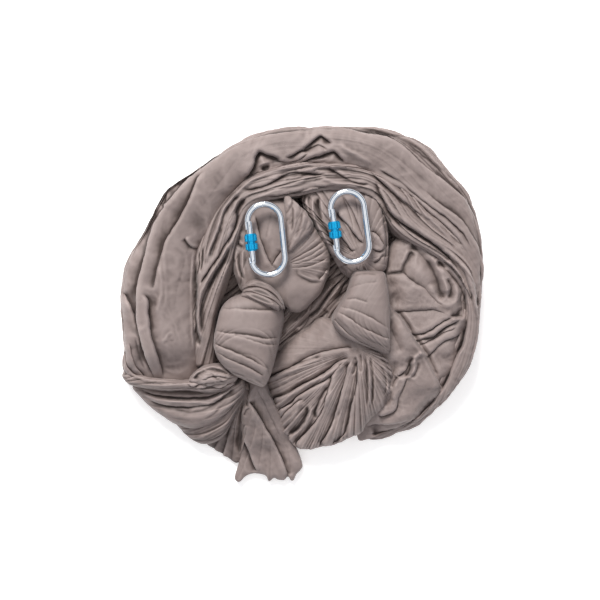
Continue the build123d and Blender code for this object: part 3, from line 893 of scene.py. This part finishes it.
def left_knot():
    g = strand([
        (-123, -20, -129, -36, 76, 44), (-116, -2, -128, -60, 102, 56),
        (-104, 10, -120, -82, 114, 60), (-87, 16, -104, -98, 119, 62),
        (-68, 17, -86, -108, 119, 62), (-50, 12, -68, -116, 117, 60),
        (-36, 4, -54, -119, 110, 56), (-27, -8, -44, -100, 94, 50), (-23, -20, -36, -74, 74, 40)],
        across=3.8, under=(60, 60), rows=1.2)
    low = lambda u, v, p: ease((-p[..., 1] - 30) / 14)
    pleats(g, 16, 120, 1.4, 501, lean=0.3, mask=low)
    press(g, [
        fold((-26, -5, -50, -7, -70, -6, -90, -5, -108, -5, -124, -5), drop=2.5, reach=14, rise=1,
             over=0, ends=0.05),
        fold((-32, -48, -50, -49, -70, -45, -90, -42, -112, -40, -132, -36), drop=3.5, rise=1.5,
             over=1, ends=0.05),
        fold((-32, -56, -46, -58, -62, -54, -80, -48, -98, -44), drop=2.5, reach=8, rise=1,
             roll=4, over=1, ends=0.05),
        fold((-46, -94, -60, -86, -74, -78, -92, -70, -112, -62, -130, -54), drop=3.5, rise=1.5,
             roll=4, over=1, ends=0.05),
        fold((-54, -104, -74, -92, -92, -84, -110, -76, -126, -66), drop=2.5, reach=8, rise=1,
             roll=4, over=1, ends=0.05),
        groove((-114, -92, -96, -98, -78, -106, -62, -114), 2.5, 4),
    ])
    crumple(g, 22, 0.8, 571)
    return piece("knot_left", g, node="cloth_left_knot")


def left_collar():
    """The three turns of the strand that hoods the left knot."""
    turns = {
        "knot_left_hood_top": [(-86, 20, -89, 24, 88, 72), (-78, 23, -80, 32, 101, 78),
                               (-66, 24, -68, 38, 106, 82), (-54, 21, -52, 34, 107, 84),
                               (-42, 15, -39, 24, 105, 82), (-32, 4, -28, 9, 100, 78),
                               (-27, -6, -23, -8, 92, 72)],
        "knot_left_hood_middle": [(-88, 16, -86, 22, 96, 80), (-74, 17, -75, 26, 110, 88),
                                  (-58, 12, -60, 26, 115, 92), (-44, 6, -45, 19, 114, 90),
                                  (-33, -2, -32, 7, 107, 86), (-27, -8, -25, -5, 98, 80)],
        "knot_left_hood_low": [(-91, 11, -88, 18, 98, 84), (-76, 9, -74, 20, 115, 94),
                               (-58, 2, -57, 15, 121, 98), (-42, -5, -42, 8, 119, 96),
                               (-31, -10, -29, -1, 108, 90)],
    }
    for seed, (name, stations) in enumerate(turns.items()):
        g = strand(stations, across=2.1, under=(50, 50), rows=1.2)
        pleats(g, 5, 50, 0.9, 551 + seed, lean=0.3)
        piece(name, g)


def right_knot():
    g = strand([
        (78, 58, 120, 54, 90, 58), (73, 44, 124, 42, 106, 62), (66, 20, 127, 24, 114, 64),
        (54, 0, 129, 6, 117, 64), (45, -16, 130, -12, 117, 64), (47, -28, 130, -36, 115, 62),
        (60, -44, 130, -60, 106, 58), (84, -58, 129, -79, 80, 44)],
        across=3.8, under=(60, 60), rows=1.2)
    low = lambda u, v, p: 0.25 + 0.75 * ease((-p[..., 1] - 0.6 * p[..., 0] + 45) / 30)
    pleats(g, 9, 120, 1.2, 601, mask=low)
    press(g, [
        fold((130, -37, 118, -29, 105, -21, 90, -13, 75, -7, 54, -2), drop=2.5, rise=1.2, roll=4,
             over=1, ends=0.05),
        fold((130, -51, 110, -43, 95, -36, 80, -27, 68, -18, 50, -9), drop=2.5, reach=8, rise=1.2,
             roll=4, over=1, ends=0.05),
        groove((50, -16, 62, -28, 76, -38, 94, -48, 112, -56, 130, -63), 2, 4, ends=0.05),
        fold((129, -72, 104, -62, 86, -54, 70, -44, 58, -33, 46, -20), drop=4, reach=7, roll=4,
             over=1.5, ends=0.05),
        fold((128, -77, 110, -68, 94, -62, 76, -54, 62, -46, 50, -34), drop=3.5, reach=5, roll=4,
             ends=0.05),
        fold((114, 34, 94, 32, 78, 28, 64, 20), drop=1.4, reach=8, rise=0.6, roll=4, over=0),
        fold((98, 3, 80, 9, 62, 8), drop=1.4, reach=8, rise=0.6, roll=4, over=0),
        fold((110, 44, 90, 45, 72, 40), drop=1.2, reach=7, rise=0.6, roll=4, over=0),
    ])
    crumple(g, 22, 0.7, 671)
    return piece("knot_right", g, node="cloth_right_knot")


def left_gather():
    """Four bundles that sweep from the outside of the coil into the left knot."""
    low = strand([
        (-192, -150, -196, -168, 20, 10), (-175, -158, -180, -184, 30, 14),
        (-152, -160, -166, -198, 38, 16), (-128, -152, -144, -207, 44, 18),
        (-108, -138, -116, -196, 52, 22), (-94, -122, -96, -160, 58, 26),
        (-84, -108, -78, -126, 62, 30)], across=2.4, under=(20, 50))
    pleats(low, 15, 70, 3.0, 731, lean=0.4)
    pleats(low, 5, 40, 1.0, 732)
    ripple(low, 14, 0.6, 733)
    piece("gather_left_low", low, shaded=0.18)

    main = strand([
        (-246, -112, -254, -122, 26, 14), (-224, -118, -238, -138, 42, 20),
        (-200, -122, -216, -158, 50, 22), (-172, -124, -188, -176, 55, 24),
        (-144, -124, -156, -184, 60, 26), (-118, -120, -122, -172, 65, 30),
        (-98, -112, -96, -146, 68, 34), (-84, -102, -78, -122, 70, 36)], across=2.5, under=(30, 60))
    quiet = lambda u, v, p: 0.35 + 0.65 * ease((p[..., 0] + 130) / 30)
    pleats(main, 14, 120, 2.8, 701, lean=0.4, mask=quiet)
    pleats(main, 5, 60, 1.0, 702, mask=quiet)
    press(main, [
        fold((-240, -124, -220, -131, -196, -134, -168, -135, -140, -134, -116, -126, -96, -112),
             drop=8, reach=10),
        ridge((-236, -130, -218, -137, -196, -141, -168, -142, -142, -141, -122, -135,
               -106, -124, -94, -112), 8, 3.5, ends=0.1),
        fold((-226, -140, -206, -146, -182, -149, -156, -149, -130, -144, -110, -130, -98, -118),
             drop=5, reach=16, rise=1, over=1, ends=0.1),
        groove((-200, -160, -182, -168, -160, -171, -138, -166, -118, -150, -104, -134), 1.6, 5),
        groove((-190, -154, -166, -158, -142, -154, -124, -142), 1.2, 4),
    ])
    ripple(main, 18, 0.7, 771)
    ripple(main, 7, 0.25, 772)
    g = piece("gather_left_main", main, node="cloth_left_gather",
              shaded=0.06)

    top = strand([
        (-262, -92, -268, -104, 40, 24), (-246, -100, -254, -118, 58, 30),
        (-222, -105, -226, -124, 70, 36), (-196, -108, -198, -127, 76, 40),
        (-168, -109, -168, -126, 80, 42), (-140, -106, -138, -130, 82, 44),
        (-114, -100, -112, -128, 80, 44), (-94, -94, -92, -116, 74, 40)],
        across=2.3, under=(50, 60))
    pleats(top, 10, 90, 3.6, 741, lean=0.4)
    pleats(top, 4.5, 45, 1.5, 742)
    press(top, [
        groove((-258, -100, -238, -110, -214, -114, -190, -113), 2.5, 4),
        fold((-168, -114, -158, -117, -146, -113, -132, -116, -112, -108), drop=5, reach=8,
             rise=2.5, roll=4),
        fold((-150, -122, -134, -118, -118, -120, -100, -110), drop=5, reach=8, rise=2.5, roll=4),
        groove((-128, -104, -114, -110, -100, -104), 4, 4),
    ])
    ripple(top, 12, 0.6, 743)
    piece("gather_left_top", top)

    curl = strand([
        (-166, -114, -166, -108, 76, 50), (-156, -117, -153, -95, 86, 54),
        (-142, -119, -138, -87, 90, 56), (-124, -119, -118, -86, 90, 56),
        (-108, -117, -105, -94, 87, 54), (-94, -111, -89, -101, 80, 50)],
        across=2.8, under=(60, 60), rows=1.2)
    press(curl, [
        ridge((-162, -107, -151, -95, -138, -89, -119, -89, -108, -96), 3, 3, ends=0.1),
        groove((-158, -109, -149, -100, -137, -94, -120, -95, -104, -102), 6, 4, ends=0.1),
        fold((-146, -110, -134, -104, -118, -103, -100, -106), drop=4, reach=6, roll=3),
        fold((-150, -115, -138, -112, -124, -111, -106, -110), drop=4, reach=6, roll=3),
        groove((-130, -100, -122, -108, -110, -112), 3, 3),
    ])
    pleats(curl, 6, 30, 1.6, 751, lean=0.3)
    ripple(curl, 9, 0.5, 752)
    piece("gather_left_curl", curl)
    return g


def right_gather():
    g = pad((84, -64), (
        96, -54, 76, -38, 58, -28, 42, -20, 26, -19, 8, -34, -14, -51, -38, -74, -50, -98,
        -52, -118, -44, -140, -36, -165, -22, -192, -8, -211, 10, -214, 30, -210, 50, -207,
        66, -200, 80, -193, 90, -188, 100, -172, 116, -158, 128, -140, 135, -118, 135, -96,
        126, -78),
        [(84, -66, 84), (40, -50, 78), (0, -80, 70), (-35, -110, 62), (40, -130, 76), (0, -160, 64),
         (60, -170, 64), (112, -104, 86), (116, -134, 78), (-10, -190, 45), (20, -35, 66)],
        waist=30, round_=3.8)
    streaks = lambda u, v, p: 0.12 + 0.88 * ease((-p[..., 1] + 0.28 * p[..., 0] - 78) / 14)
    pleats(g, 15, 120, 4.2, 801, fan=True, mask=streaks)
    pleats(g, 6, 70, 1.8, 811, fan=True, mask=streaks)
    press(g, [
        fold((76, -63, 50, -66, 25, -72, 5, -81, -12, -91, -30, -100, -52, -112), drop=7, rise=3,
             roll=6, ends=0.06),
        groove((30, -74, 12, -81, -4, -88, -14, -92), 7, 4),
        fold((70, -77, 55, -84, 45, -93, 35, -101, 20, -109, 0, -120, -20, -131, -44, -142),
             drop=12, reach=10, rise=3, roll=6, ends=0.06),
        ridge((62, -86, 48, -97, 35, -106, 15, -114, -5, -126, -25, -136, -42, -142), 5, 3.5,
              ends=0.08),
        fold((50, -100, 36, -112, 25, -118, 10, -126, -5, -136, -15, -146, -36, -158), drop=10,
             reach=10, rise=3, ends=0.08),
        fold((4, -138, -6, -145, -15, -153, -25, -163, -34, -176), drop=8, reach=8, roll=4),
        groove((8, -146, 9, -158, 3, -172, -5, -182, -20, -193), 9, 6, ends=0.15),
        ridge((0, -140, -6, -152, -12, -168, -18, -182), 4, 5),
        groove((40, -118, 33, -128, 26, -142, 21, -156, 22, -168), 8, 5, ends=0.15),
        ridge((44, -122, 37, -138, 32, -152), 3, 4),
        fold((62, -84, 50, -99, 43, -118, 38, -135, 34, -150, 26, -166, 14, -183, 0, -198,
              -10, -210), drop=9, reach=10, rise=3, ends=0.06),
        fold((72, -82, 67, -100, 62, -120, 57, -140, 50, -165, 42, -186, 27, -210), drop=9,
             rise=3, ends=0.06),
        groove((58, -150, 52, -170, 46, -190, 38, -206), 4, 3.5),
        fold((83, -80, 84, -104, 79, -130, 74, -152, 70, -175, 61, -195, 44, -207), drop=11,
             reach=10, rise=3, roll=6, ends=0.06),
        groove((80, -74, 80, -90, 74, -104), 6, 3.5),
        groove((86, -70, 88, -86, 88, -100), 5, 3),
        groove((93, -72, 96, -95, 97, -130, 96, -152), 6, 3.5),
        groove((101, -74, 104, -100, 105, -125, 104, -148), 6, 3.5),
        ridge((97, -70, 100, -95, 101, -125, 100, -150), 3, 3),
        groove((108, -76, 118, -92, 124, -112, 122, -134), 3.5, 4),
        groove((114, -76, 126, -90, 130, -108), 3, 3),
    ])
    crumple(g, 20, 1.2, 875)
    ripple(g, 24, 0.7, 871)
    return piece("gather_right", g, node="cloth_right_gather")


def right_drape():
    """A sheet in loose folds at the right, and the flap that lies over it."""
    under = pad((190, -10), (
        118, 20, 122, 46, 130, 84, 150, 104, 172, 100, 196, 86, 218, 66, 236, 42, 244, 14, 247, -14,
        246, -40, 240, -62, 232, -84, 226, -100, 216, -122, 200, -130, 180, -116, 160, -90,
        144, -60, 128, -30),
        [(140, 30, 78), (180, 30, 78), (150, -15, 70), (200, -25, 72), (140, 70, 76),
         (180, 70, 78), (200, -90, 60), (225, -60, 66), (225, 30, 82), (236, 0, 80),
         (160, -60, 64), (206, 10, 74)],
        waist=30, round_=5)
    press(under, softened([
        fold((216, -3, 203, 1, 190, 13, 180, 25, 168, 31, 157, 40, 147, 48, 134, 46, 122, 43),
             drop=4, reach=14, roll=6, over=0.5),
        groove((124, 45, 136, 46, 147, 48, 151, 57, 157, 69, 163, 80), 7, 4, ends=0.1),
        groove((160, 92, 172, 78, 186, 62, 195, 46, 201, 30, 205, 17, 212, 9), 12, 6.5, ends=0.1),
        groove((214, 9, 219, 16, 219, 28, 212, 40), 7, 4.5),
        ridge((188, 34, 194, 20, 203, 5, 214, 0, 224, 4, 229, 15, 226, 32, 214, 46, 200, 58), 6,
              4, ends=0.1),
        groove((198, 66, 212, 52, 226, 36, 235, 22, 238, 6, 236, -8, 228, -15, 216, -14), 11, 4,
               ends=0.08),
        ridge((210, 66, 226, 52, 239, 32, 243, 8, 242, -14, 234, -26), 4, 3.5, ends=0.1),
        groove((226, -8, 234, -12, 238, -22), 9, 6, ends=0.35),
        dent(132, 32, 4, 9),
        dent(136, 12, 6, 12),
        dent(176, 46, -3, 14),
        dent(158, 14, -3, 16),
        fold((126, -9, 140, -9, 160, -8, 178, -7, 190, -6, 202, -9, 216, -14), drop=5, reach=10,
             roll=6, over=1),
        fold((156, -41, 172, -41, 188, -35, 200, -27, 212, -20, 224, -17), reach=8, rise=3),
        fold((160, -55, 170, -52, 181, -48, 193, -43, 206, -34, 220, -27, 236, -20), drop=13,
             rise=3.5),
        fold((172, -59, 186, -51, 199, -44, 212, -38, 228, -32), drop=5, reach=7, rise=2.5,
             roll=4),
        fold((182, -80, 191, -69, 200, -60, 210, -52, 223, -47, 238, -39), reach=8, rise=2.5),
        groove((206, -80, 220, -73, 236, -62), 2.5, 6),
        groove((134, 0, 145, -12, 156, -27, 165, -42, 174, -55, 183, -68, 191, -82, 198, -97,
                204, -110), 7, 4),
        groove((238, 24, 242, 5, 243, -20, 240, -42, 236, -58, 228, -75, 222, -90, 218, -102,
                212, -116, 205, -128), 18, 7, ends=0.1),
        dent(206, -80, 2, 14),
        dent(216, -96, -2, 12),
    ]))
    crumple(under, 24, 1.6, 905)
    crumple(under, 11, 0.8, 906)
    ripple(under, 26, 0.8, 971)
    g = piece("drape_right", under, node="cloth_right_drape")

    flap = pad((150, -118), (
        110, 16, 120, 10, 128, 4, 141, -10, 152, -25, 161, -40, 170, -53, 179, -66, 187, -80,
        194, -96, 201, -111, 208, -123, 206, -132, 198, -143, 184, -157, 170, -170, 150, -178,
        130, -186, 112, -194, 98, -199, 86, -200, 84, -182, 90, -150, 100, -100, 104, -50),
        [(116, -10, 84), (146, -25, 82), (168, -58, 79), (138, -70, 76), (195, -108, 70),
         (168, -110, 70), (155, -150, 56), (115, -150, 52), (182, -142, 54), (105, -188, 26),
         (112, -100, 60), (130, -120, 66)],
        waist=24, round_=7)
    press(flap, softened([
        ridge((126, 2, 140, -15, 158, -42, 175, -68, 189, -95, 200, -115), 3.5, 3.5, ends=0.08),
        ridge((190, -74, 178, -70, 169, -75, 165, -82, 167, -90, 164, -98, 157, -104), 6, 3,
              ends=0.12),
        groove((165, -76, 160, -84, 160, -93, 156, -102, 150, -105), 8, 4),
        groove((172, -82, 171, -92, 166, -103, 158, -108), 3, 4),
        ridge((134, -10, 146, -29, 158, -50, 168, -66), 4, 9),
        groove((130, -30, 138, -50, 148, -70), 5, 9),
        fold((112, -163, 124, -161, 134, -157, 140, -150, 142, -138, 147, -125, 152, -114,
              155, -104), drop=8, reach=14, rise=3, ends=0.08),
        fold((139, -104, 147, -99, 153, -93, 158, -84)),
        groove((142, -104, 137, -112, 133, -122), 5, 4),
        groove((137, -80, 136, -96, 130, -112), 4, 8),
        groove((132, -124, 130, -138, 122, -150), 4, 5),
        ridge((136, -114, 139, -126, 135, -140), 3, 3),
        dent(124, -30, 8, 8),
        dent(150, -45, -2, 14),
        dent(178, -125, -2, 20),
        dent(150, -88, 4, 8),
        groove((222, -92, 218, -102, 213, -115, 205, -128, 195, -142, 183, -155, 172, -166,
                160, -173, 140, -180, 120, -187, 104, -192), 14, 6, ends=0.05),
        fold((96, -180, 108, -176, 125, -175, 145, -173, 160, -168), roll=4),
        fold((100, -192, 116, -188, 132, -183, 150, -176, 170, -167), drop=5, reach=7, roll=4),
    ], wider=1.35))
    crumple(flap, 26, 1.8, 915)
    crumple(flap, 12, 0.7, 916)
    ripple(flap, 30, 1.4, 981)
    piece("drape_right_flap", flap)
    return g


def long_tail():
    g = pad((-60, -108), (
        -76, -106, -80, -132, -86, -152, -90, -164, -89, -176, -86, -188, -84, -198, -88, -216,
        -93, -236, -97, -250, -99, -260, -93, -264, -84, -256, -71, -251, -60, -252, -52, -255,
        -48, -263, -41, -258, -34, -261, -25, -261, -20, -256, -16, -262, -11, -262, -7, -253,
        -1, -247, 2, -238, -5, -218, -13, -202, -21, -184, -31, -163, -40, -142, -48, -122,
        -52, -108),
        [(-64, -116, 66), (-68, -150, 58), (-55, -190, 44), (-45, -230, 26), (-85, -235, 18),
         (-18, -220, 26)], waist=10, round_=3.2, tuck=0.05)
    pleats(g, 30, 110, 1.2, 1001, fan=True, lean=0.2)
    press(g, [
        # the middle panel lies over the two beside it
        fold((-19, -256, -25, -239, -34, -218, -44, -198, -56, -177, -67, -157, -77, -142),
             drop=8, reach=14, rise=3, roll=4, over=1.5, ends=0.05),
        fold((-82, -176, -85, -190, -84, -200, -79, -214, -73, -231, -66, -248), drop=7, reach=12,
             rise=3, roll=4, over=1.5, ends=0.06),
        groove((-68, -118, -60, -134, -52, -150, -42, -172, -28, -202), 1.6, 5),
        groove((-76, -120, -80, -140, -78, -152), 6, 4),
        groove((-84, -164, -80, -154, -74, -152), 4, 3),
    ])
    crumple(g, 19, 1.3, 1071)
    ripple(g, 26, 1.4, 1072)
    return piece("tail_long", g, node="cloth_long_tail")


def short_tail():
    g = pad((-86, -120), (
        -78, -108, -94, -112, -108, -135, -122, -165, -134, -190, -141, -207, -126, -217,
        -110, -227, -97, -236, -84, -226, -74, -190, -70, -150, -70, -122),
        [(-86, -122, 60), (-100, -160, 42), (-115, -200, 20), (-95, -210, 16)], waist=8, round_=2.6,
        tuck=0.05)
    pleats(g, 14, 60, 3.0, 1101, fan=True, lean=0.3)
    press(g, [groove((-90, -130, -102, -165, -112, -200), 7, 8),
              groove((-84, -130, -90, -170, -96, -215), 6, 8),
              fold((-96, -126, -112, -162, -128, -200), drop=5, reach=10, roll=4),
              groove((-80, -150, -88, -190, -94, -226), 5, 6)])
    crumple(g, 16, 1.4, 1171)
    return piece("tail_short", g, node="cloth_short_tail",
                 shaded=0.2)


# ---------------------------------------------------------------- the set
def floor():
    mesh = bpy.data.meshes.new("floor")
    half = 6.0
    mesh.from_pydata([(-half, -half, 0), (half, -half, 0), (half, half, 0), (-half, half, 0)], [],
                     [(0, 1, 2, 3)])
    obj = bpy.data.objects.new("floor", mesh)
    bpy.context.collection.objects.link(obj)
    m = material("white_floor", {
        "Base Color": (0.92, 0.915, 0.91, 1), "Roughness": 0.9,
        "Emission Color": (1, 0.98, 0.96, 1), "Emission Strength": 0.45})[0]
    mesh.materials.append(m)


def studio():
    scene = bpy.context.scene
    scene.view_settings.view_transform = "Standard"
    world = bpy.data.worlds.new("studio")
    world.use_nodes = True
    t = world.node_tree
    back = t.nodes["Background"]
    back.inputs["Strength"].default_value = WORLD
    # a bright panel overhead, a dim ring round it and pale walls, which polished steel shows
    split = new_node(t, "SeparateXYZ")
    join(new_node(t, "TexCoord"), "Generated", split, "Vector")
    sky = graded(t, split, "Z", (0.0, (0.9, 0.9, 0.9)), (0.20, (0.80, 0.84, 0.90)),
                 (0.38, (0.06, 0.09, 0.16)), (0.68, (0.12, 0.16, 0.25)), (0.78, (1.35, 1.35, 1.35)),
                 (1.0, (1, 1, 1)))
    join(sky, "Color", back, "Color")
    scene.world = world
    data = bpy.data.lights.new("key", "SUN")
    data.energy = SUN
    data.angle = math.radians(SUN_SPREAD)
    data.color = (1, 0.985, 0.965)
    key = bpy.data.objects.new("key", data)
    key.rotation_euler = (-Vector(SUN_FROM)).to_track_quat("-Z", "Y").to_euler()
    bpy.context.collection.objects.link(key)


def camera():
    data = bpy.data.cameras.new("camera")
    height = 3.2
    view_width = 0.882
    middle = 0.06
    data.sensor_width = 36
    data.lens = 36 * (height - middle) / view_width
    obj = bpy.data.objects.new("camera", data)
    obj.location = (-0.0018, 0.0074, height)
    bpy.context.collection.objects.link(obj)
    bpy.context.scene.camera = obj


camera()
studio()
floor()
finish_hardware()
outer_turn()
inner_turn()
core()
left_loop()
right_loop()
left_knot()
left_collar()
right_knot()
left_gather()
right_gather()
right_drape()
long_tail()
short_tail()
